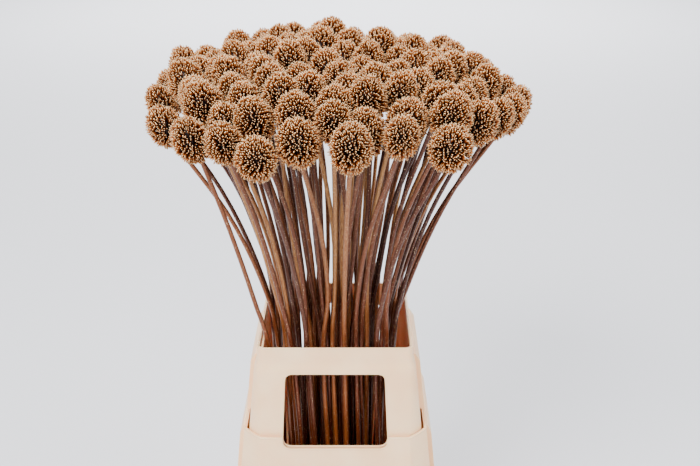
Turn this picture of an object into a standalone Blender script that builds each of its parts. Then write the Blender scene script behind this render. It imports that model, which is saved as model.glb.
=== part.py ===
"""A bunch of dried drumstick alliums standing in a two-piece plastic flower holder.

Metres, +Z up, origin on the floor under the middle of the holder, front towards -Y.
"""

import math
import random

import bmesh
import bpy
import numpy as np
from mathutils import Matrix, Vector

NAME = "allium_bunch"

# Holder: two nested mouldings, an outer bucket and the collar that stands in it.
WALL = 0.0025
MOUTH_Z = 0.380
FLOOR = 0.003
RIM_Z = 0.2865
FOOT_Z = 0.2660
CLEAR = 0.0003
# (height, half width, half length of the flat, how round the corner is)
COLLAR_RINGS = [
    (FOOT_Z, 0.0899, 0.0745, 0.35),
    (0.2890, 0.0881, 0.0743, 0.45),
    (0.3560, 0.0812, 0.0732, 0.80),
    (0.3625, 0.0786, 0.0718, 1.00),
    (MOUTH_Z - 0.0010, 0.0777, 0.0708, 1.00),
    (MOUTH_Z, 0.0771, 0.0706, 1.00),
]
BUCKET_RINGS = [
    (0.0000, 0.1050, 0.0830, 0.25),
    (0.0040, 0.1075, 0.0840, 0.25),
    (0.1900, 0.1035, 0.0800, 0.25),
    (RIM_Z - 0.0010, 0.0936, 0.0754, 0.25),
    (RIM_Z, 0.0932, 0.0752, 0.25),
]
LEDGE_Z = FOOT_Z - CLEAR
LEDGE_IN = 0.0056
WINDOW = dict(low=0.2735, high=0.3535, half_low=0.0543, half_high=0.0503, r_low=0.011, r_high=0.008)
GRIP = dict(low=0.3205, high=0.3475, half_low=0.0440, half_high=0.0430, r_low=0.005, r_high=0.005)
LOW_GRIP = dict(low=0.2120, high=0.2600, half_low=0.0480, half_high=0.0460, r_low=0.006, r_high=0.006)
FRAME_OUT = 0.0052

# Flowers: heads on a low dome over the mouth, stems gathered through the mouth to the floor.
SEED = 7
STEM_R = 0.00260
STEM_TOP_R = 0.0021
HEAD_W = 0.0345
HEAD_L = 0.0455
STEM_LEVELS = [FLOOR + CLEAR, 0.200, 0.360, 0.430, 0.510]
SIDES = 6
# The front heads: azimuth from the front, radius, centre above the mouth, width, length (mm).
FRONT = [
    (-100, 174, 222, 30, 40), (-65, 168, 224, 32, 41), (-46, 168, 225, 33, 44),
    (-33, 163, 228, 32, 40), (-20, 176, 223, 34, 41), (-11, 149, 233, 36, 46),
    (5, 152, 231, 35, 48), (22, 148, 235, 30, 42), (32, 133, 239, 36, 45),
    (37, 166, 226, 36, 44), (52, 146, 232, 34, 45), (66, 160, 229, 30, 42),
    (78, 168, 226, 30, 43), (91, 174, 224, 31, 45), (104, 170, 228, 31, 41),
]
# Rings of the other heads: radius (mm), how many, first azimuth, span.
RINGS = [(168, 16, 116, 134), (131, 25, 4, 346), (99, 19, 0, 341), (67, 13, 10, 332), (36, 7, 0, 309),
         (0, 1, 0, 0)]


def dome(x, y):
    """Height of the head centres above the mouth: a low dome, a little higher at the back."""
    return 0.262 - 0.033 * (x / 0.165) ** 2 - 0.020 * (y / 0.165) ** 2 + 0.012 * (y / 0.165)


def layout():
    """Every flower: its head's centre, axis, half width and half length, its stem's path, its partner."""
    rnd = random.Random(SEED)
    heads, size, pinned, pair = [], [], [], []
    for az, r, h, w, l in FRONT:
        a = math.radians(az)
        heads.append((r * math.sin(a) / 1000, -r * math.cos(a) / 1000, h / 1000))
        size.append((w / 2000, l / 2000))
        pinned.append(0.9)
        pair.append(-1)
    for r, count, start, span in RINGS:
        for k in range(count):
            a = math.radians(start + (span * k / (count - 1) if count > 1 else 0) + rnd.uniform(-2, 2))
            rr = (r + rnd.uniform(-4, 4)) / 1000 if r else 0.0
            x, y = rr * math.sin(a), -rr * math.cos(a)
            scale = rnd.uniform(0.90, 1.08)
            heads.append((x, y, dome(x, y) + rnd.uniform(-0.008, 0.008)))
            size.append((HEAD_W / 2 * scale, HEAD_L / 2 * scale * rnd.uniform(0.94, 1.06)))
            pinned.append(0.0)
            odd_one = k == count - 1 and count % 2
            n = len(heads) - 1
            pair.append(-1 if odd_one else (n + 1 if k % 2 == 0 else n - 1))
    heads, size, pinned = np.array(heads), np.array(size), np.array(pinned)
    n = len(heads)
    mate = np.zeros((n, n), bool)
    for i, j in enumerate(pair):
        if j >= 0:
            mate[i, j] = True
    wide = size[:, None, 0] + size[None, :, 0]
    tall = size[:, None, 1] + size[None, :, 1]
    want = np.where(mate, 0.84, 1.035)
    free = (1 - pinned)[:, None]
    for step in range(600):
        d = heads[:, None] - heads[None]
        flat = np.sqrt(d[..., 0] ** 2 + d[..., 1] ** 2) + 1e-9
        near = np.sqrt((flat / wide) ** 2 + (d[..., 2] / tall) ** 2)
        gap = want - near
        np.fill_diagonal(gap, 0)
        push = np.where(mate, gap, np.maximum(gap, 0)) * wide * 0.25
        move = (d[..., :2] / flat[..., None] * push[..., None]).sum(1)
        heads[:, :2] += move * (free if step < 500 else np.maximum(free, 0.5))
        radius = np.hypot(heads[:, 0], heads[:, 1])
        pull = np.maximum(radius - 0.176, 0)[:, None] * heads[:, :2] / (radius[:, None] + 1e-9)
        heads[:, :2] -= pull * 0.5
    # Axis: the heads of the outer flowers lean out.
    lean = 1.15
    axes = np.stack([heads[:, 0] * lean / 0.4, heads[:, 1] * lean / 0.4, np.ones(n)], 1)
    axes /= np.linalg.norm(axes, axis=1)[:, None]
    base = heads - axes * size[:, 1:2] * 0.93
    # Stems: the round bunch is mapped to the square mouth, with some crossing over.
    unit = heads[:, :2] / 0.184
    rad = np.hypot(unit[:, 0], unit[:, 1]) + 1e-9
    big = np.maximum(np.abs(unit[:, 0]), np.abs(unit[:, 1])) + 1e-9
    square = unit * (1 + 0.98 * (rad / big - 1))[:, None]
    turn = math.radians(10)
    c, s = math.cos(turn), math.sin(turn)
    levels = np.zeros((n, 6, 3))
    shift = np.array([(rnd.uniform(-1, 1), rnd.uniform(-1, 1)) for _ in range(n)])
    bow = np.array([(rnd.uniform(-1, 1), rnd.uniform(-1, 1)) for _ in range(n)])
    for i in range(n):
        m = square[i] * 0.0690
        m = m + shift[i] * 0.0080 * (1 - 0.6 * max(abs(square[i])))
        f = np.array([c * m[0] - s * m[1], s * m[0] + c * m[1]]) * 0.90 - shift[i] * 0.003
        b = base[i]
        top = b[2] + MOUTH_Z
        for k, z in enumerate(STEM_LEVELS):
            if z <= 0.361:
                u = (z / 0.361) ** 1.3
                p = f * (1 - u) + m * u
            else:
                t = (z - 0.361) / (top - 0.361)
                g = 0.30 * t + 0.70 * t * t
                p = m + (b[:2] - m) * g + bow[i] * 0.009 * math.sin(math.pi * t)
            levels[i, k] = (p[0], p[1], z)
        levels[i, 5] = (b[0], b[1], top)
    space = np.array([0.0061, 0.0061, 0.0061, 0.0065, 0.0070, 0.0072])
    limit = np.array([0.0780, 0.0720, 0.0680, 0.0820, 0.2, 0.2])
    for step in range(400):
        move = np.zeros((n, 6, 2))
        for k in range(5):
            for u in (0.0, 0.25, 0.5, 0.75):
                p = levels[:, k, :2] * (1 - u) + levels[:, k + 1, :2] * u
                d = p[:, None] - p[None]
                flat = np.sqrt((d**2).sum(-1)) + 1e-9
                lack = np.maximum(space[k] - flat, 0)
                np.fill_diagonal(lack, 0)
                push = (d / flat[..., None] * lack[..., None]).sum(1) * 0.3
                move[:, k] += push * (1 - u)
                if k < 4:
                    move[:, k + 1] += push * u
        levels[:, :, :2] += move
        for k in range(5):
            levels[:, k, :2] = np.clip(levels[:, k, :2], -limit[k], limit[k])
    turns = []
    for i, j in enumerate(pair):
        to = heads[j] - heads[i] if j >= 0 else (1.0, 0.0)
        turns.append(math.atan2(to[1], to[0]))
    heads[:, 2] += MOUTH_Z
    return [
        dict(centre=heads[i], axis=axes[i], half=size[i], path=levels[i], mate=pair[i], turn=turns[i])
        for i in range(n)
    ]


def material(name, colour, roughness, metallic=0.0):
    """A plain Principled material."""
    m = bpy.data.materials.new(name)
    m.use_nodes = True
    shader = m.node_tree.nodes["Principled BSDF"]
    shader.inputs["Base Color"].default_value = (*colour, 1)
    shader.inputs["Roughness"].default_value = roughness
    shader.inputs["Metallic"].default_value = metallic
    m.diffuse_color = (*colour, 1)
    return m


def collection(name):
    """A new collection in the scene."""
    c = bpy.data.collections.new(name)
    bpy.context.scene.collection.children.link(c)
    return c


def add_object(name, bm, home, mat=None):
    """Turn a bmesh into an object with outward normals."""
    bmesh.ops.recalc_face_normals(bm, faces=bm.faces)
    mesh = bpy.data.meshes.new(name)
    bm.to_mesh(mesh)
    bm.free()
    if mat:
        mesh.materials.append(mat)
    o = bpy.data.objects.new(name, mesh)
    home.objects.link(o)
    return o


def ring_points(z, half, flat, roundness):
    """One level of a square tube with blunt corners: flats of 2 * flat, corners 3 facets round."""
    out = []
    cut = half - flat
    for q in range(4):
        for k in range(4):
            a = math.pi / 2 * k / 3
            arc = (flat + cut * math.sin(a), -flat - cut * math.cos(a))
            chord = (flat + cut * k / 3, -half + cut * k / 3)
            x, y = (arc[i] * roundness + chord[i] * (1 - roundness) for i in (0, 1))
            for _ in range(q):
                x, y = -y, x
            out.append(Vector((x, y, z)))
    return out


def loft(bm, rings, joined):
    """Skin a list of rings, and either join the last to the first or cap both ends."""
    verts = [[bm.verts.new(p) for p in r] for r in rings]
    pairs = list(zip(verts, verts[1:] + verts[:1])) if joined else list(zip(verts, verts[1:]))
    for low, high in pairs:
        n = len(low)
        for i in range(n):
            j = (i + 1) % n
            bm.faces.new((low[i], low[j], high[j], high[i]))
    if not joined:
        bm.faces.new(verts[0][::-1])
        bm.faces.new(verts[-1])


def inward(ring, depth, z=None):
    """The ring's inner partner, a wall's thickness in."""
    h, half, flat, roundness = ring
    return ring_points(h if z is None else z, half - depth, flat - depth * 0.41, roundness)


def opening_profile(low, high, half_low, half_high, r_low, r_high):
    """A trapezium with rounded corners, as (across, up) points."""
    corners = [
        (-half_low, low, r_low), (half_low, low, r_low), (half_high, high, r_high), (-half_high, high, r_high)
    ]
    out = []
    for k, (u, v, r) in enumerate(corners):
        before, after = corners[k - 1], corners[(k + 1) % 4]
        p = Vector((u, v))
        a = (Vector(before[:2]) - p).normalized()
        b = (Vector(after[:2]) - p).normalized()
        for t in (0.0, 0.25, 0.5, 0.75, 1.0):
            near, far = p + a * r, p + b * r
            out.append(near * (1 - t) ** 2 + p * 2 * t * (1 - t) + far * t * t)
    return out


def prism(name, profile, reach, across_x, home):
    """A cutter of that profile, running along Y, or along X for the side walls."""
    bm = bmesh.new()
    rings = []
    for s in reach:
        rings.append([Vector((p.x, s, p.y)) if not across_x else Vector((s, p.x, p.y)) for p in profile])
    loft(bm, rings, joined=False)
    return add_object(name, bm, home)


def boolean(target, cutter, operation, cutters):
    """Apply one exact Boolean, and keep the cutter hidden."""
    mod = target.modifiers.new("bool", "BOOLEAN")
    mod.operation = operation
    mod.solver = "EXACT"
    mod.object = cutter
    bpy.context.view_layer.update()
    done = bpy.data.meshes.new_from_object(target.evaluated_get(bpy.context.evaluated_depsgraph_get()))
    target.modifiers.clear()
    old, target.data = target.data, done
    done.name = target.name
    bpy.data.meshes.remove(old)
    cutter.hide_render = True
    cutter.display_type = "WIRE"


def side_frame(name, side, levels, half, home):
    """A raised block on a side wall: levels are (height, wall's half width), which it stands proud of."""
    bm = bmesh.new()
    rings = []
    for z, wall, proud in levels:
        near, far = side * (wall - 0.0012), side * (wall + proud)
        rings.append([Vector(p) for p in ((near, -half, z), (far, -half, z), (far, half, z), (near, half, z))])
    loft(bm, rings, joined=False)
    return add_object(name, bm, home)


def make_collar(home, cutters, mat):
    """The upper moulding: upright mouth band, soft shoulder, flared skirt, two windows, two grips."""
    bm = bmesh.new()
    outer = [ring_points(*r) for r in COLLAR_RINGS]
    inner = [inward(r, WALL) for r in COLLAR_RINGS[-2::-1]]
    inner[0] = inward(COLLAR_RINGS[-1], WALL - 0.0004)
    inner.insert(1, inward(COLLAR_RINGS[-2], WALL))
    loft(bm, outer + inner, joined=True)
    collar = add_object("collar", bm, home, mat)
    for side in (-1, 1):
        block = side_frame(
            f"collar_frame_{side}", side,
            [(0.2950, 0.0875, FRAME_OUT), (0.3150, 0.0854, FRAME_OUT), (0.3520, 0.0816, FRAME_OUT),
             (0.3600, 0.0797, 0.0020)],
            0.0520, cutters,
        )
        boolean(collar, block, "UNION", cutters)
        pocket = prism(
            f"collar_pocket_{side}",
            opening_profile(0.3000, 0.3095, 0.0440, 0.0440, 0.003, 0.003),
            sorted((side * 0.0885, side * 0.1000)), True, cutters,
        )
        boolean(collar, pocket, "DIFFERENCE", cutters)
    window = prism("window_cut", opening_profile(**WINDOW), (-0.12, 0.12), False, cutters)
    boolean(collar, window, "DIFFERENCE", cutters)
    grip = prism("grip_cut", opening_profile(**GRIP), (-0.12, 0.12), True, cutters)
    boolean(collar, grip, "DIFFERENCE", cutters)
    return collar


def make_bucket(home, cutters, mat):
    """The lower moulding: octagonal tub, notched where the windows are, with a ledge for the collar."""
    bm = bmesh.new()
    outer = [ring_points(*r) for r in BUCKET_RINGS]

    def wall_at(z):
        for a, b in zip(BUCKET_RINGS, BUCKET_RINGS[1:]):
            if a[0] <= z <= b[0]:
                u = (z - a[0]) / (b[0] - a[0])
                return tuple(p * (1 - u) + q * u for p, q in zip(a, b))
        return BUCKET_RINGS[-1]

    inner = [inward(BUCKET_RINGS[-1], WALL - 0.0005), inward(BUCKET_RINGS[-2], WALL)]
    for z, depth in ((LEDGE_Z, WALL), (LEDGE_Z, LEDGE_IN), (0.2600, LEDGE_IN), (0.2540, WALL),
                     (0.1900, WALL), (FLOOR, WALL)):
        inner.append(inward(wall_at(z), depth))
    loft(bm, outer + inner, joined=False)
    bucket = add_object("bucket", bm, home, mat)
    for side in (-1, 1):
        block = side_frame(
            f"bucket_frame_{side}", side,
            [(0.2020, 0.1022, FRAME_OUT), (0.2680, 0.0955, FRAME_OUT), (0.2780, 0.0945, 0.0020)],
            0.0570, cutters,
        )
        boolean(bucket, block, "UNION", cutters)
    notch = dict(WINDOW, high=0.330, half_high=0.0514)
    cut = prism("notch_cut", opening_profile(**notch), (-0.12, 0.12), False, cutters)
    boolean(bucket, cut, "DIFFERENCE", cutters)
    grip = prism("low_grip_cut", opening_profile(**LOW_GRIP), (-0.12, 0.12), True, cutters)
    boolean(bucket, grip, "DIFFERENCE", cutters)
    return bucket


def flower_mesh(f):
    """One flower: a six-sided stem that swells into an egg-shaped head."""
    bm = bmesh.new()
    path = [Vector(p) for p in f["path"]]
    axis = Vector(f["axis"])
    rings = []
    for k, p in enumerate(path):
        r = STEM_R + (STEM_TOP_R - STEM_R) * k / (len(path) - 1)
        if k in (0, 1, 2):
            along = Vector((0, 0, 1))
        elif k < len(path) - 1:
            along = (path[k + 1] - path[k - 1]).normalized()
            along = (along + Vector((0, 0, 1))).normalized()
        else:
            along = axis
        rings.append(circle(p, along, r, f["turn"]))
    a, c = f["half"]
    centre = Vector(f["centre"])
    for up, out in ((-0.72, 0.66), (-0.15, 1.00), (0.45, 0.86), (0.86, 0.44)):
        rings.append(circle(centre + axis * c * up, axis, a * out, f["turn"]))
    verts = [[bm.verts.new(p) for p in r] for r in rings]
    for low, high in zip(verts, verts[1:]):
        for i in range(SIDES):
            j = (i + 1) % SIDES
            bm.faces.new((low[i], low[j], high[j], high[i]))
    bm.faces.new(verts[0][::-1])
    tip = bm.verts.new(centre + axis * c)
    for i in range(SIDES):
        bm.faces.new((verts[-1][i], verts[-1][(i + 1) % SIDES], tip))
    bmesh.ops.triangulate(bm, faces=bm.faces)
    return bm


def circle(centre, along, r, turn):
    """A ring of points square to a direction, its first point turned towards the partner."""
    side = Vector((math.cos(turn), math.sin(turn), 0))
    side = (side - along * side.dot(along)).normalized()
    other = along.cross(side)
    return [
        centre + (side * math.cos(t) + other * math.sin(t)) * r
        for t in (2 * math.pi * k / SIDES for k in range(SIDES))
    ]


def make_flowers(home, cutters, mat):
    """Each front flower alone, and the others two by two, with their heads pressed together."""
    flowers = layout()
    count = 0
    for i, f in enumerate(flowers):
        if 0 <= f["mate"] < i:
            continue
        count += 1
        one = add_object(f"allium_{count:02d}", flower_mesh(f), home, mat)
        if f["mate"] >= 0:
            other = add_object(f"allium_{count:02d}_b", flower_mesh(flowers[f["mate"]]), cutters, mat)
            boolean(one, other, "UNION", cutters)


def main():
    for o in list(bpy.data.objects):
        bpy.data.objects.remove(o, do_unlink=True)
    home, cutters = collection(NAME), collection("cutters")
    plastic = material("holder_plastic", (0.78, 0.67, 0.56), 0.45)
    dried = material("dried_allium", (0.45, 0.22, 0.09), 0.40, 0.4)
    make_collar(home, cutters, plastic)
    make_bucket(home, cutters, plastic)
    make_flowers(home, cutters, dried)
    cutters.hide_render = True


main()
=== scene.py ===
import math
import random

import bmesh
import bpy
import numpy as np
from mathutils import Matrix, Vector


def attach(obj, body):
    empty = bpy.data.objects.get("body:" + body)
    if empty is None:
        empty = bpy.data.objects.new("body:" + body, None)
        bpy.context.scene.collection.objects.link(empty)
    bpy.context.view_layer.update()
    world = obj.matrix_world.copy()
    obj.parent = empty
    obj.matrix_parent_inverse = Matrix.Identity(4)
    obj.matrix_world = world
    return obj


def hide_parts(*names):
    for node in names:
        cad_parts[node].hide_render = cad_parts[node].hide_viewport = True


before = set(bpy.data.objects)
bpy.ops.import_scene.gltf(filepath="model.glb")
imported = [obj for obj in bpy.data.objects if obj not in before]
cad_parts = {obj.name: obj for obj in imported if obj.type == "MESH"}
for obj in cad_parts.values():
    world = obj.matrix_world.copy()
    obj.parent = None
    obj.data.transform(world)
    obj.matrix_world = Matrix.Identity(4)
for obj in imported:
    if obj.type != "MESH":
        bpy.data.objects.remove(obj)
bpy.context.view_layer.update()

# ---------------------------------------------------------------- the gathered flowers
# Where each flower stands: its head on a low dome over the holder's mouth, its stem gathered
# through the mouth down to the floor of the bucket. The heads are packed so that neighbours
# just touch, and the pairs that share a CAD node are pressed together.
SEED = 7
MOUTH_Z = 0.380
FLOOR_Z = 0.0033
HEAD_W = 0.0345
HEAD_L = 0.0455
STEM_LEVELS = [FLOOR_Z, 0.200, 0.360, 0.430, 0.510]
# Head spacing as a share of the two heads' own size, for the pressed pairs and for the rest.
PAIR_SPACING = 0.84
HEAD_SPACING = 1.035
BUNCH_R = 0.176
# The level where the stems are gripped, and how they fill the square mouth there.
GRIPPED_Z = 0.361
SQUARENESS = 0.98
TWIST = math.radians(10)
STRAY = 0.0080
BOW = 0.009
STEM_SPACE = [0.0061, 0.0061, 0.0061, 0.0065, 0.0070, 0.0072]
STEM_REACH = [0.0780, 0.0720, 0.0680, 0.0820, 0.2, 0.2]
# The front heads: azimuth from the front, radius, height above the mouth, width and length, in mm.
FRONT = [
    (-100, 174, 222, 30, 40), (-65, 168, 224, 32, 41), (-46, 168, 225, 33, 44),
    (-33, 163, 228, 32, 40), (-20, 176, 223, 34, 41), (-11, 149, 233, 36, 46),
    (5, 152, 231, 35, 48), (22, 148, 235, 30, 42), (32, 133, 239, 36, 45),
    (37, 166, 226, 36, 44), (52, 146, 232, 34, 45), (66, 160, 229, 30, 42),
    (78, 168, 226, 30, 43), (91, 174, 224, 31, 45), (104, 170, 228, 31, 41),
]
# The other heads: ring radius in mm, how many, first azimuth and the azimuths' span.
RINGS = [(168, 16, 116, 134), (131, 25, 4, 346), (99, 19, 0, 341), (67, 13, 10, 332), (36, 7, 0, 309),
         (0, 1, 0, 0)]


def dome(x, y):
    return 0.262 - 0.033 * (x / 0.165) ** 2 - 0.020 * (y / 0.165) ** 2 + 0.012 * (y / 0.165)


def gather_flowers():
    rnd = random.Random(SEED)
    heads, size, pinned, pair = [], [], [], []
    for az, r, h, w, l in FRONT:
        a = math.radians(az)
        heads.append((r * math.sin(a) / 1000, -r * math.cos(a) / 1000, h / 1000))
        size.append((w / 2000, l / 2000))
        pinned.append(0.9)
        pair.append(-1)
    for r, count, start, span in RINGS:
        for k in range(count):
            a = math.radians(start + (span * k / (count - 1) if count > 1 else 0) + rnd.uniform(-2, 2))
            rr = (r + rnd.uniform(-4, 4)) / 1000 if r else 0.0
            x, y = rr * math.sin(a), -rr * math.cos(a)
            scale = rnd.uniform(0.90, 1.08)
            heads.append((x, y, dome(x, y) + rnd.uniform(-0.008, 0.008)))
            size.append((HEAD_W / 2 * scale, HEAD_L / 2 * scale * rnd.uniform(0.94, 1.06)))
            pinned.append(0.0)
            odd_one = k == count - 1 and count % 2
            n = len(heads) - 1
            pair.append(-1 if odd_one else (n + 1 if k % 2 == 0 else n - 1))
    heads, size, pinned = np.array(heads), np.array(size), np.array(pinned)
    n = len(heads)
    mate = np.zeros((n, n), bool)
    for i, j in enumerate(pair):
        if j >= 0:
            mate[i, j] = True
    wide = size[:, None, 0] + size[None, :, 0]
    tall = size[:, None, 1] + size[None, :, 1]
    want = np.where(mate, PAIR_SPACING, HEAD_SPACING)
    free = (1 - pinned)[:, None]
    for step in range(600):
        d = heads[:, None] - heads[None]
        flat = np.sqrt(d[..., 0] ** 2 + d[..., 1] ** 2) + 1e-9
        near = np.sqrt((flat / wide) ** 2 + (d[..., 2] / tall) ** 2)
        gap = want - near
        np.fill_diagonal(gap, 0)
        push = np.where(mate, gap, np.maximum(gap, 0)) * wide * 0.25
        move = (d[..., :2] / flat[..., None] * push[..., None]).sum(1)
        heads[:, :2] += move * (free if step < 500 else np.maximum(free, 0.5))
        radius = np.hypot(heads[:, 0], heads[:, 1])
        pull = np.maximum(radius - BUNCH_R, 0)[:, None] * heads[:, :2] / (radius[:, None] + 1e-9)
        heads[:, :2] -= pull * 0.5
    lean = 1.15
    axes = np.stack([heads[:, 0] * lean / 0.4, heads[:, 1] * lean / 0.4, np.ones(n)], 1)
    axes /= np.linalg.norm(axes, axis=1)[:, None]
    base = heads - axes * size[:, 1:2] * 0.93
    unit = heads[:, :2] / 0.184
    rad = np.hypot(unit[:, 0], unit[:, 1]) + 1e-9
    big = np.maximum(np.abs(unit[:, 0]), np.abs(unit[:, 1])) + 1e-9
    square = unit * (1 + SQUARENESS * (rad / big - 1))[:, None]
    c, s = math.cos(TWIST), math.sin(TWIST)
    levels = np.zeros((n, 6, 3))
    shift = np.array([(rnd.uniform(-1, 1), rnd.uniform(-1, 1)) for _ in range(n)])
    bow = np.array([(rnd.uniform(-1, 1), rnd.uniform(-1, 1)) for _ in range(n)])
    for i in range(n):
        m = square[i] * 0.0690
        m = m + shift[i] * STRAY * (1 - 0.6 * max(abs(square[i])))
        f = np.array([c * m[0] - s * m[1], s * m[0] + c * m[1]]) * 0.90 - shift[i] * 0.003
        b = base[i]
        top = b[2] + MOUTH_Z
        for k, z in enumerate(STEM_LEVELS):
            if z <= GRIPPED_Z:
                u = (z / GRIPPED_Z) ** 1.3
                p = f * (1 - u) + m * u
            else:
                t = (z - GRIPPED_Z) / (top - GRIPPED_Z)
                g = 0.30 * t + 0.70 * t * t
                p = m + (b[:2] - m) * g + bow[i] * BOW * math.sin(math.pi * t)
            levels[i, k] = (p[0], p[1], z)
        levels[i, 5] = (b[0], b[1], top)
    for step in range(400):
        move = np.zeros((n, 6, 2))
        for k in range(5):
            for u in (0.0, 0.25, 0.5, 0.75):
                p = levels[:, k, :2] * (1 - u) + levels[:, k + 1, :2] * u
                d = p[:, None] - p[None]
                flat = np.sqrt((d**2).sum(-1)) + 1e-9
                lack = np.maximum(STEM_SPACE[k] - flat, 0)
                np.fill_diagonal(lack, 0)
                push = (d / flat[..., None] * lack[..., None]).sum(1) * 0.3
                move[:, k] += push * (1 - u)
                if k < 4:
                    move[:, k + 1] += push * u
        levels[:, :, :2] += move
        for k in range(5):
            levels[:, k, :2] = np.clip(levels[:, k, :2], -STEM_REACH[k], STEM_REACH[k])
    heads[:, 2] += MOUTH_Z
    return heads, axes, size, levels, pair


heads, axes, head_sizes, stem_levels, partner = gather_flowers()
# The flowers of each CAD node: one, or two pressed together.
bundles = []
for i, j in enumerate(partner):
    if not 0 <= j < i:
        bundles.append([i] if j < 0 else [i, j])


# ---------------------------------------------------------------- finishes
# The two mouldings are injection-moulded cream polypropylene: satin, faintly mottled, a little
# see-through at its edges. Stems and florets have a gold-bronze spray lacquer: a soft metallic gleam over
# brown stalks, painted darker below the mouth as painted shade inside the holder, and copper florets with
# feet painted near-black as painted shade and pale gold tips that are partly lacquer, partly painted
# highlight. One function turns hex colours linear.
def linear(hex_code):
    parts = [int(hex_code[k:k + 2], 16) / 255 for k in (1, 3, 5)]
    return tuple(p / 12.92 if p <= 0.04045 else ((p + 0.055) / 1.055) ** 2.4 for p in parts) + (1,)


def node(tree, kind, links=None, **settings):
    made = tree.nodes.new(kind)
    for key, value in settings.items():
        if key.startswith("in_"):
            made.inputs[int(key[3:])].default_value = value
        else:
            setattr(made, key, value)
    for socket, source in (links or {}).items():
        tree.links.new(source, made.inputs[socket])
    return made


def ramp(tree, source, stops):
    made = node(tree, "ShaderNodeValToRGB", {0: source})
    elements = made.color_ramp.elements
    while len(elements) < len(stops):
        elements.new(0.5)
    for element, (at, colour) in zip(elements, stops):
        element.position = at
        element.color = linear(colour)
    return made.outputs[0]


def finish(name):
    made = bpy.data.materials.new(name)
    made.use_nodes = True
    return made, made.node_tree, made.node_tree.nodes["Principled BSDF"]


def moulded_plastic():
    made, tree, shader = finish("cream_polypropylene")
    place = node(tree, "ShaderNodeTexCoord").outputs["Object"]
    mottle = node(tree, "ShaderNodeTexNoise", {0: place}, in_2=28.0, in_3=3.0)
    colour = ramp(tree, mottle.outputs[0], [(0.35, "#FACA9A"), (0.70, "#FFD6A8")])
    scuffs = node(tree, "ShaderNodeTexNoise", {0: place}, in_2=95.0, in_3=6.0, in_4=0.7)
    marks = ramp(tree, scuffs.outputs[0], [(0.70, "#FFFFFF"), (0.78, "#C9B090")])
    worn = node(tree, "ShaderNodeMix", {6: colour, 7: marks}, data_type="RGBA", blend_type="MULTIPLY")
    worn.inputs[0].default_value = 0.35
    tree.links.new(worn.outputs[2], shader.inputs["Base Color"])
    grain = node(tree, "ShaderNodeTexNoise", {0: place}, in_2=900.0, in_3=2.0)
    bump = node(tree, "ShaderNodeBump", {"Height": grain.outputs[0]})
    bump.inputs["Strength"].default_value = 0.05
    bump.inputs["Distance"].default_value = 0.0002
    tree.links.new(bump.outputs[0], shader.inputs["Normal"])
    shader.inputs["Roughness"].default_value = 0.42
    shader.inputs["Subsurface Weight"].default_value = 0.25
    shader.inputs["Subsurface Radius"].default_value = (1.0, 0.45, 0.2)
    shader.inputs["Subsurface Scale"].default_value = 0.004
    return made


def gilded_stem():
    made, tree, shader = finish("bronze_stem_with_painted_shade")
    place = node(tree, "ShaderNodeTexCoord").outputs["Object"]
    long = node(tree, "ShaderNodeMapping", {0: place})
    long.inputs["Scale"].default_value = (1.0, 1.0, 0.02)
    fibre = node(tree, "ShaderNodeTexNoise", {0: long.outputs[0]}, in_2=1400.0, in_3=3.0)
    tone = node(tree, "ShaderNodeAttribute", attribute_name="tone").outputs["Fac"]
    mixed = node(tree, "ShaderNodeMath", {0: fibre.outputs[0], 1: tone}, operation="MULTIPLY_ADD")
    tree.links.new(tone, mixed.inputs[2])
    light = ramp(tree, mixed.outputs[0], [(0.15, "#2C0E05"), (0.45, "#4E2410"), (0.75, "#7A4424"),
                                          (1.00, "#B8844E")])
    # Below the mouth the stems take this darker red-brown ramp instead: painted shade inside the holder,
    # fading out between 1 cm below and 9 cm above the mouth.
    shaded_stem_paint = ramp(tree, mixed.outputs[0], [(0.20, "#2A0C03"), (0.60, "#5E2810"), (1.00, "#92501F")])
    height = node(tree, "ShaderNodeAttribute", attribute_name="clear_of_painted_shade").outputs["Fac"]
    colour = node(tree, "ShaderNodeMix", {0: height, 6: shaded_stem_paint, 7: light}, data_type="RGBA")
    specks = node(tree, "ShaderNodeTexNoise", {0: place}, in_2=1100.0, in_3=1.0)
    glitter = ramp(tree, specks.outputs[0], [(0.68, "#000000"), (0.74, "#FFFFFF")])
    sparkle = node(tree, "ShaderNodeMix", {0: glitter, 6: colour.outputs[2]}, data_type="RGBA")
    sparkle.inputs[7].default_value = linear("#E2C8A0")
    tree.links.new(sparkle.outputs[2], shader.inputs["Base Color"])
    bump = node(tree, "ShaderNodeBump", {"Height": fibre.outputs[0]})
    bump.inputs["Strength"].default_value = 0.4
    bump.inputs["Distance"].default_value = 0.0003
    tree.links.new(bump.outputs[0], shader.inputs["Normal"])
    shader.inputs["Roughness"].default_value = 0.36
    shader.inputs["Metallic"].default_value = 0.45
    return made


def gilded_floret():
    made, tree, shader = finish("gold_floret_painted_shade_and_highlight")
    along = node(tree, "ShaderNodeAttribute", attribute_name="along").outputs["Fac"]
    tone = node(tree, "ShaderNodeAttribute", attribute_name="tone").outputs["Fac"]
    # Along each floret: the near-black foot is painted shade between the florets, the copper body is the
    # lacquer, and the pale gold tip is partly the lacquer's colour and partly painted highlight.
    colour = ramp(tree, along, [(0.10, "#1C0401"), (0.40, "#581A06"), (0.70, "#9C4816"), (0.88, "#CC863E"),
                                (0.97, "#FFE2B4")])
    shade = node(tree, "ShaderNodeMapRange", {0: tone})
    shade.inputs["To Min"].default_value = 0.50
    shade.inputs["To Max"].default_value = 1.08
    tint = node(tree, "ShaderNodeMix", {6: colour}, data_type="RGBA", blend_type="MULTIPLY")
    tint.inputs[0].default_value = 1.0
    tree.links.new(shade.outputs[0], tint.inputs[7])
    tree.links.new(tint.outputs[2], shader.inputs["Base Color"])
    shader.inputs["Roughness"].default_value = 0.32
    shader.inputs["Metallic"].default_value = 0.55
    return made


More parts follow.
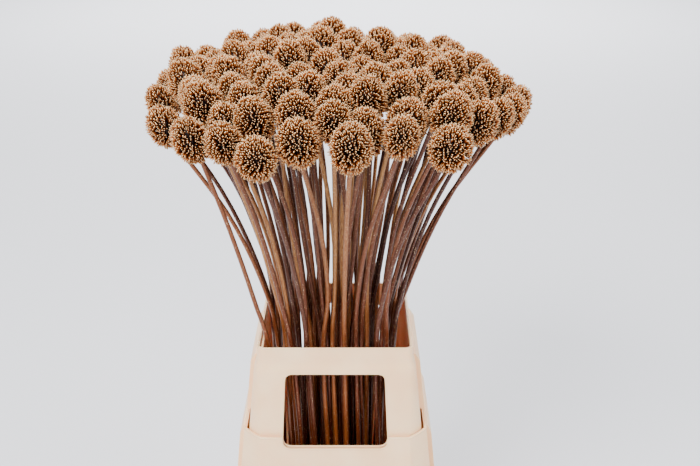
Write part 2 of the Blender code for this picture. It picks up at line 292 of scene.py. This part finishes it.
plastic, stem_lacquer_and_painted_shade, floret_lacquer_and_painted_light = moulded_plastic(), gilded_stem(), gilded_floret()


# ---------------------------------------------------------------- stems
# Each stem is a straight dry stalk about 4.7 mm thick, bending outward over the mouth's edge.
# They stand loose on the bucket's floor, held only by the mouth and by one another.
STEM_SIDES = 8
STEM_RINGS = 22
STEM_FOOT_R = 0.00260
STEM_TOP_R = 0.00210


def smooth_path(points, count):
    points = np.array(points)
    first, last = 2 * points[0] - points[1], 2 * points[-1] - points[-2]
    p = np.vstack([first, points, last])
    out = []
    spans = len(points) - 1
    for k in range(count):
        u = k / (count - 1) * spans
        s = min(int(u), spans - 1)
        t = u - s
        a, b, c, d = p[s], p[s + 1], p[s + 2], p[s + 3]
        out.append(0.5 * (2 * b + (c - a) * t + (2 * a - 5 * b + 4 * c - d) * t * t
                          + (3 * b - a - 3 * c + d) * t ** 3))
    return np.array(out)


def tube(path, radii, sides):
    along = np.gradient(path, axis=0)
    along /= np.linalg.norm(along, axis=1)[:, None]
    side = np.array([1.0, 0.0, 0.0]) - along * along[:, :1]
    side /= np.linalg.norm(side, axis=1)[:, None]
    other = np.cross(along, side)
    turn = np.arange(sides) * 2 * math.pi / sides
    ring = (side[:, None] * np.cos(turn)[None, :, None] + other[:, None] * np.sin(turn)[None, :, None])
    verts = (path[:, None] + ring * np.array(radii)[:, None, None]).reshape(-1, 3)
    faces = []
    for k in range(len(path) - 1):
        for i in range(sides):
            j = (i + 1) % sides
            faces.append((k * sides + i, k * sides + j, (k + 1) * sides + j, (k + 1) * sides + i))
    faces.append(tuple(range(sides))[::-1])
    faces.append(tuple((len(path) - 1) * sides + i for i in range(sides)))
    return verts, faces


def piece(name, verts, faces, material, attributes=None, smooth=True):
    mesh = bpy.data.meshes.new(name)
    mesh.from_pydata([tuple(v) for v in verts], [], faces)
    mesh.materials.append(material)
    for key, values in (attributes or {}).items():
        mesh.attributes.new(key, "FLOAT", "POINT").data.foreach_set("value", np.array(values, np.float32))
    mesh.polygons.foreach_set("use_smooth", np.full(len(mesh.polygons), smooth))
    mesh.update()
    made = bpy.data.objects.new(name, mesh)
    bpy.context.scene.collection.objects.link(made)
    return made


shades = random.Random(21)
for number, members in enumerate(bundles, 1):
    verts, faces, tone, clear_of_painted_shade = [], [], [], []
    for i in members:
        path = smooth_path(stem_levels[i], STEM_RINGS)
        into_head = path[-1] + axes[i] * 0.004
        path = np.vstack([path, into_head])
        count = len(path)
        radii = [STEM_FOOT_R + (STEM_TOP_R - STEM_FOOT_R) * k / (count - 1) for k in range(count)]
        v, f = tube(path, radii, STEM_SIDES)
        offset = sum(len(part) for part in verts)
        verts.append(v)
        faces += [tuple(q + offset for q in face) for face in f]
        shade = shades.uniform(0.18, 0.62)
        tone += [shade] * len(v)
        # Share of the lit colour: 0 up to 1 cm below the mouth, 1 from 9 cm above it; lower down the stem
        # is painted in shade.
        clear_of_painted_shade += list(np.clip((v[:, 2] - MOUTH_Z + 0.01) / 0.10, 0.0, 1.0))
    stem = piece(f"stem_{number:02d}", np.vstack(verts), faces, stem_lacquer_and_painted_shade,
                 dict(tone=tone, clear_of_painted_shade=clear_of_painted_shade))
    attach(stem, "root")
    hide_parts(f"allium_{number:02d}")


# ---------------------------------------------------------------- seed heads
# A head is an egg-shaped core, painted near-black as painted shade deep in the head, with several hundred
# thin club-shaped florets standing out of it on all sides. Each floret is painted near-black at the foot
# as painted shade between the florets, copper along the body, and pale gold at the tip, partly the
# lacquer's colour and partly painted highlight. They lean up a little, and no two are the same length,
# which gives the head its ragged edge.
FLORET_RINGS = [(0.00, 0.00030), (0.62, 0.00068), (0.88, 0.00062)]
FLORET_SIDES = 4
FLORET_LENGTH = 0.0100
FLORET_SPACING = 0.00262

club_verts, club_along = [], []
for up, r in FLORET_RINGS:
    for k in range(FLORET_SIDES):
        a = 2 * math.pi * k / FLORET_SIDES
        club_verts.append((r * math.cos(a), r * math.sin(a), up))
        club_along.append(up)
club_verts.append((0, 0, 1.0))
club_along.append(1.0)
club_verts = np.array(club_verts)
club_faces = []
for k in range(len(FLORET_RINGS) - 1):
    for i in range(FLORET_SIDES):
        j = (i + 1) % FLORET_SIDES
        a, b = k * FLORET_SIDES, (k + 1) * FLORET_SIDES
        club_faces.append((a + i, a + j, b + j, b + i))
top = (len(FLORET_RINGS) - 1) * FLORET_SIDES
for i in range(FLORET_SIDES):
    club_faces.append((top + i, top + (i + 1) % FLORET_SIDES, len(club_verts) - 1))
club_faces.append(tuple(range(FLORET_SIDES))[::-1])
GOLDEN = math.pi * (3 - math.sqrt(5))


def seed_head(centre, axis, half, rnd):
    a, c = half[0] * 1.08, half[1] * 1.05
    axis = Vector(axis)
    turn = Vector((0, 0, 1)).rotation_difference(axis).to_matrix()
    area = 4 * math.pi * ((2 * (a * c) ** 1.6 + (a * a) ** 1.6) / 3) ** (1 / 1.6)
    count = int(area / (FLORET_SPACING ** 2 * 0.866))
    core = bmesh.new()
    bmesh.ops.create_icosphere(core, subdivisions=2, radius=1.0)
    low = FLORET_LENGTH * 0.80
    core.verts.ensure_lookup_table()
    verts = [np.array([(v.co.x * (a - low), v.co.y * (a - low), v.co.z * (c - low)) for v in core.verts])]
    faces = [tuple(v.index for v in f.verts) for f in core.faces]
    # The core takes the ramp's near-black foot colour: painted shade deep inside the head.
    along = [0.10] * len(core.verts)
    tone = [0.3] * len(core.verts)
    core.free()
    offset = len(verts[0])
    for k in range(count):
        z = 1 - 2 * (k + 0.5) / count
        if z < -0.965:
            continue
        ring = math.sqrt(1 - z * z)
        around = k * GOLDEN + rnd.uniform(-0.12, 0.12)
        x, y = ring * math.cos(around), ring * math.sin(around)
        # An egg: fullest a little below the middle, narrower at the top.
        pinch = 1.0 - 0.10 * max(z, 0) ** 1.5
        tip = Vector((a * x * pinch, a * y * pinch, c * z))
        out = Vector((x / a, y / a, z / c)).normalized()
        out = (out * 0.45 + tip.normalized() * 0.55 + Vector((0, 0, 0.20 + 0.20 * z))
               + Vector([rnd.gauss(0, 0.075) for _ in range(3)])).normalized()
        long = FLORET_LENGTH * rnd.uniform(0.90, 1.12)
        tip = tip + out * rnd.uniform(-0.0020, 0.0014)
        spin = out.to_track_quat("Z", "Y").to_matrix() @ Matrix.Rotation(rnd.uniform(0, 3), 3, "Z")
        thick = rnd.uniform(0.85, 1.20)
        local = club_verts * np.array([thick, thick, long])
        placed = local @ np.array(spin).T + np.array(tip - out * long)
        verts.append(placed)
        faces += [tuple(q + offset for q in face) for face in club_faces]
        offset += len(club_verts)
        along += club_along
        tone += [rnd.uniform(0, 1)] * len(club_verts)
    placed = np.vstack(verts) @ np.array(turn).T + np.array(centre)
    return placed, faces, along, tone


for number, members in enumerate(bundles, 1):
    for letter, i in zip("ab", members):
        rnd = random.Random(1000 + i)
        verts, faces, along, tone = seed_head(heads[i], axes[i], head_sizes[i], rnd)
        head = piece(f"seed_head_{number:02d}{letter}", verts, faces, floret_lacquer_and_painted_light,
                     dict(along=along, tone=tone))
        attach(head, "root")
        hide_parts(f"allium_{number:02d}")


# ---------------------------------------------------------------- collar
# The upper moulding of the holder: a thin-walled square sleeve with an upright mouth band, a soft
# shoulder and a flared skirt, a window front and back, and a framed grip on each side.
WALL = 0.0025
CORNER = 8
# Window outlines: low and high level, half width at each, corner radius at each.
WINDOW = (0.2735, 0.3535, 0.0543, 0.0503, 0.011, 0.008)
UPPER_GRIP = (0.3205, 0.3475, 0.0440, 0.0430, 0.005, 0.005)
UPPER_POCKET = (0.3000, 0.3095, 0.0440, 0.0440, 0.003, 0.003)
THROUGH = (-0.12, 0.12)
# The outer face from the foot to the lip: level, half width, half flat, roundness of the corners.
COLLAR_RINGS = [
    (0.2660, 0.0899, 0.0745, 0.35), (0.2890, 0.0881, 0.0743, 0.45), (0.3200, 0.0850, 0.0738, 0.60),
    (0.3530, 0.0816, 0.0733, 0.80), (0.3570, 0.0811, 0.0731, 0.84), (0.3600, 0.0799, 0.0725, 0.92),
    (0.3625, 0.0788, 0.0719, 1.00), (0.3660, 0.0783, 0.0715, 1.00), (0.3794, 0.0777, 0.0708, 1.00),
    (0.3800, 0.0772, 0.0707, 1.00),
]


def square_ring(z, half, flat, roundness):
    out = []
    cut = half - flat
    for q in range(4):
        for k in range(CORNER + 1):
            a = math.pi / 2 * k / CORNER
            arc = (flat + cut * math.sin(a), -flat - cut * math.cos(a))
            chord = (flat + cut * k / CORNER, -half + cut * k / CORNER)
            x, y = (arc[i] * roundness + chord[i] * (1 - roundness) for i in (0, 1))
            for _ in range(q):
                x, y = -y, x
            out.append(Vector((x, y, z)))
    return out


def skin(bm, rings, joined):
    rows = [[bm.verts.new(p) for p in r] for r in rings]
    for low, high in zip(rows, rows[1:] + (rows[:1] if joined else [])):
        for i in range(len(low)):
            j = (i + 1) % len(low)
            bm.faces.new((low[i], low[j], high[j], high[i]))
    if not joined:
        bm.faces.new(rows[0][::-1])
        bm.faces.new(rows[-1])


def inside(ring, depth):
    h, half, flat, roundness = ring
    return square_ring(h, half - depth, flat - depth * 0.41, roundness)


def rounded_window(low, high, half_low, half_high, r_low, r_high):
    corners = [(-half_low, low, r_low), (half_low, low, r_low), (half_high, high, r_high),
               (-half_high, high, r_high)]
    out = []
    for k, (u, v, r) in enumerate(corners):
        p = Vector((u, v))
        a = (Vector(corners[k - 1][:2]) - p).normalized()
        b = (Vector(corners[(k + 1) % 4][:2]) - p).normalized()
        for s in range(9):
            t = s / 8
            out.append((p + a * r) * (1 - t) ** 2 + p * 2 * t * (1 - t) + (p + b * r) * t * t)
    return out


def moulding(name, bm):
    bmesh.ops.recalc_face_normals(bm, faces=bm.faces)
    mesh = bpy.data.meshes.new(name)
    bm.to_mesh(mesh)
    bm.free()
    mesh.materials.append(plastic)
    made = bpy.data.objects.new(name, mesh)
    bpy.context.scene.collection.objects.link(made)
    return made


def cut_or_join(target, tool, operation):
    step = target.modifiers.new("step", "BOOLEAN")
    step.operation = operation
    step.solver = "EXACT"
    step.object = tool
    bpy.context.view_layer.update()
    done = bpy.data.meshes.new_from_object(target.evaluated_get(bpy.context.evaluated_depsgraph_get()))
    target.modifiers.clear()
    target.data = done
    bpy.data.objects.remove(tool)


def through(profile, reach, sideways):
    bm = bmesh.new()
    skin(bm, [[Vector((s, p.x, p.y)) if sideways else Vector((p.x, s, p.y)) for p in profile]
              for s in reach], joined=False)
    return moulding("tool", bm)


def grip_frame(side, levels, half):
    bm = bmesh.new()
    skin(bm, [[Vector(p) for p in ((side * (wall - 0.0012), -half, z), (side * (wall + proud), -half, z),
                                   (side * (wall + proud), half, z), (side * (wall - 0.0012), half, z))]
              for z, wall, proud in levels], joined=False)
    return moulding("tool", bm)


def soften(target, width, angle=30):
    edges = target.modifiers.new("edges", "BEVEL")
    edges.width = width
    edges.segments = 2
    edges.limit_method = "ANGLE"
    edges.angle_limit = math.radians(angle)
    edges.harden_normals = False
    target.data.polygons.foreach_set("use_smooth", [True] * len(target.data.polygons))
    target.data.set_sharp_from_angle(angle=math.radians(28))


bm = bmesh.new()
skin(bm, [square_ring(*r) for r in COLLAR_RINGS]
     + [inside(COLLAR_RINGS[-1], WALL - 0.0005)]
     + [inside(r, WALL) for r in COLLAR_RINGS[-2::-1]], joined=True)
collar = moulding("holder_collar", bm)
for side in (-1, 1):
    cut_or_join(collar, grip_frame(side, [
        (0.2950, 0.0875, 0.0052), (0.3150, 0.0854, 0.0052), (0.3520, 0.0816, 0.0052),
        (0.3600, 0.0797, 0.0020)], 0.0520), "UNION")
    cut_or_join(collar, through(rounded_window(*UPPER_POCKET),
                                sorted((side * 0.0885, side * 0.1000)), True), "DIFFERENCE")
cut_or_join(collar, through(rounded_window(*WINDOW), THROUGH, False), "DIFFERENCE")
cut_or_join(collar, through(rounded_window(*UPPER_GRIP), THROUGH, True), "DIFFERENCE")
soften(collar, 0.0008)
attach(collar, "root")
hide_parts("collar")


# ---------------------------------------------------------------- rolled edges
# The mouth, both windows and the bucket's rim with its notches end in a thin polished bead that
# catches the light. Most of its thickness is sunk in the wall.
BEAD_R = 0.0011
BEAD_SIDES = 6
BEAD_SUNK = 0.0006


def bead(name, points, stands_for):
    path = np.array(points)
    ahead, behind = np.roll(path, -1, axis=0), np.roll(path, 1, axis=0)
    along = ahead - behind
    along /= np.linalg.norm(along, axis=1)[:, None]
    across = np.cross(along, path * np.array([1.0, 1.0, 0.0]))
    across /= np.linalg.norm(across, axis=1)[:, None]
    outward = np.cross(across, along)
    turn = np.arange(BEAD_SIDES) * 2 * math.pi / BEAD_SIDES
    ring = across[:, None] * np.cos(turn)[None, :, None] + outward[:, None] * np.sin(turn)[None, :, None]
    verts = (path[:, None] + ring * BEAD_R).reshape(-1, 3)
    faces = []
    for k in range(len(path)):
        low, high = k * BEAD_SIDES, (k + 1) % len(path) * BEAD_SIDES
        for i in range(BEAD_SIDES):
            j = (i + 1) % BEAD_SIDES
            faces.append((low + i, low + j, high + j, high + i))
    made = piece(name, verts, faces, edge_plastic)
    merged = bmesh.new()
    merged.from_mesh(made.data)
    bmesh.ops.recalc_face_normals(merged, faces=merged.faces)
    merged.to_mesh(made.data)
    merged.free()
    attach(made, "root")
    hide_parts(stands_for)


def half_at(rings, z):
    return float(np.interp(z, [r[0] for r in rings], [r[1] for r in rings]))


edge_plastic = plastic.copy()
edge_plastic.name = "polished_polypropylene_edge"
edge_plastic.node_tree.nodes["Principled BSDF"].inputs["Roughness"].default_value = 0.25
bead("mouth_bead", [p - Vector((0, 0, BEAD_SUNK)) for p in square_ring(0.3800, 0.0768, 0.0705, 1.0)],
     "collar")
for name, side in (("front", -1), ("back", 1)):
    bead(f"window_bead_{name}", [(p.x, side * (half_at(COLLAR_RINGS, p.y) - BEAD_SUNK), p.y)
                                 for p in rounded_window(*WINDOW)],
         "collar")


# ---------------------------------------------------------------- bucket
# The lower moulding: an eight-sided tub that widens downward, its thin rim just proud of the
# collar's foot, notched under the windows, with a framed grip low on each side.
NOTCH = (0.2735, 0.330, 0.0543, 0.0514, 0.011, 0.008)
NOTCH_HALF = 0.0537
LOWER_GRIP = (0.2120, 0.2600, 0.0480, 0.0460, 0.006, 0.006)
RIM_SUNK = 0.0008
BUCKET_RINGS = [
    (0.0000, 0.1050, 0.0830, 0.25), (0.0040, 0.1075, 0.0840, 0.25), (0.1900, 0.1035, 0.0800, 0.18),
    (0.2857, 0.0936, 0.0754, 0.15), (0.2865, 0.0932, 0.0752, 0.15),
]


def bucket_ring(z):
    for a, b in zip(BUCKET_RINGS, BUCKET_RINGS[1:]):
        if a[0] <= z <= b[0]:
            u = (z - a[0]) / (b[0] - a[0])
            return tuple(p * (1 - u) + q * u for p, q in zip(a, b))
    return BUCKET_RINGS[-1]


CORNER = 4
bm = bmesh.new()
skin(bm, [square_ring(*r) for r in BUCKET_RINGS]
     + [inside(BUCKET_RINGS[-1], WALL - 0.0005), inside(BUCKET_RINGS[-2], WALL)]
     + [inside(bucket_ring(z), depth) for z, depth in (
         (0.2657, WALL), (0.2657, 0.0056), (0.2600, 0.0056), (0.2540, WALL), (0.1900, WALL),
         (0.0030, WALL))], joined=False)
bucket = moulding("holder_bucket", bm)
for side in (-1, 1):
    cut_or_join(bucket, grip_frame(side, [
        (0.2020, 0.1022, 0.0052), (0.2680, 0.0955, 0.0052), (0.2780, 0.0945, 0.0020)], 0.0570), "UNION")
cut_or_join(bucket, through(rounded_window(*NOTCH), THROUGH, False), "DIFFERENCE")
cut_or_join(bucket, through(rounded_window(*LOWER_GRIP), THROUGH, True), "DIFFERENCE")
soften(bucket, 0.0008, 20)
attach(bucket, "root")
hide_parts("bucket")

# The rim's bead follows the notch at the front, two corners, the notch at the back and the others.
rim_z = BUCKET_RINGS[-1][0]
crest = rim_z - BEAD_SUNK
sill = [p for p in rounded_window(*NOTCH)[:18] if p.y < rim_z - 0.002]
dip = [Vector((-NOTCH_HALF, crest))] + sill + [Vector((NOTCH_HALF, crest))]
corners = [tuple(p) for p in square_ring(crest, 0.0930, 0.0751, 0.15)]
half_way = len(corners) // 2
loop = [(p.x, -(half_at(BUCKET_RINGS, p.y) - RIM_SUNK), p.y) for p in dip]
loop += corners[:half_way]
loop += [(-p.x, half_at(BUCKET_RINGS, p.y) - RIM_SUNK, p.y) for p in dip]
loop += corners[half_way:]
bead("rim_bead", loop, "bucket")


# ---------------------------------------------------------------- studio
# A pale seamless sweep, soft light from above the camera, and the camera at the front.
sweep = bmesh.new()
profile = [(-4.0, 0.0), (5.2, 0.0)]
profile += [(5.2 + 1.2 * math.sin(math.radians(t)), 1.2 - 1.2 * math.cos(math.radians(t)))
            for t in range(5, 91, 5)]
profile += [(6.4, 5.0)]
left = [sweep.verts.new((-9.0, y, z)) for y, z in profile]
right = [sweep.verts.new((9.0, y, z)) for y, z in profile]
for k in range(len(profile) - 1):
    sweep.faces.new((left[k], right[k], right[k + 1], left[k + 1]))
mesh = bpy.data.meshes.new("studio_sweep")
sweep.to_mesh(mesh)
sweep.free()
paper, tree, shader = finish("studio_paper")
shader.inputs["Base Color"].default_value = linear("#D6D7DC")
shader.inputs["Roughness"].default_value = 0.9
mesh.materials.append(paper)
backdrop = bpy.data.objects.new("studio_sweep", mesh)
bpy.context.scene.collection.objects.link(backdrop)


def softbox(name, place, aim, size, watts, colour="#FFFFFF"):
    lamp = bpy.data.lights.new(name, "AREA")
    lamp.shape = "RECTANGLE"
    lamp.size, lamp.size_y = size
    lamp.energy = watts
    lamp.color = linear(colour)[:3]
    made = bpy.data.objects.new(name, lamp)
    made.location = place
    made.rotation_euler = (Vector(aim) - Vector(place)).to_track_quat("-Z", "Y").to_euler()
    bpy.context.scene.collection.objects.link(made)


softbox("key", (-1.0, -1.6, 2.2), (0, 0, 0.45), (1.2, 0.9), 125)
softbox("fill", (1.8, -1.2, 1.4), (0, 0, 0.45), (1.4, 1.4), 36)
softbox("over", (0.0, 0.9, 2.6), (0, 0.6, 0.3), (2.4, 2.0), 70)
softbox("far", (0.0, 4.6, 2.6), (0, 4.6, 0.0), (4.0, 2.4), 350)
world = bpy.data.worlds.new("studio_air")
world.use_nodes = True
world.node_tree.nodes["Background"].inputs[0].default_value = linear("#F2F4F8")
world.node_tree.nodes["Background"].inputs[1].default_value = 0.85
bpy.context.scene.world = world

lens = bpy.data.cameras.new("camera")
lens.lens = 48.5
lens.sensor_width = 36
lens.clip_end = 40
camera = bpy.data.objects.new("camera", lens)
camera.location = (0.015, -0.900, 0.832)
camera.rotation_euler = (math.radians(90 - 21.8), 0, 0)
bpy.context.scene.collection.objects.link(camera)
bpy.context.scene.camera = camera
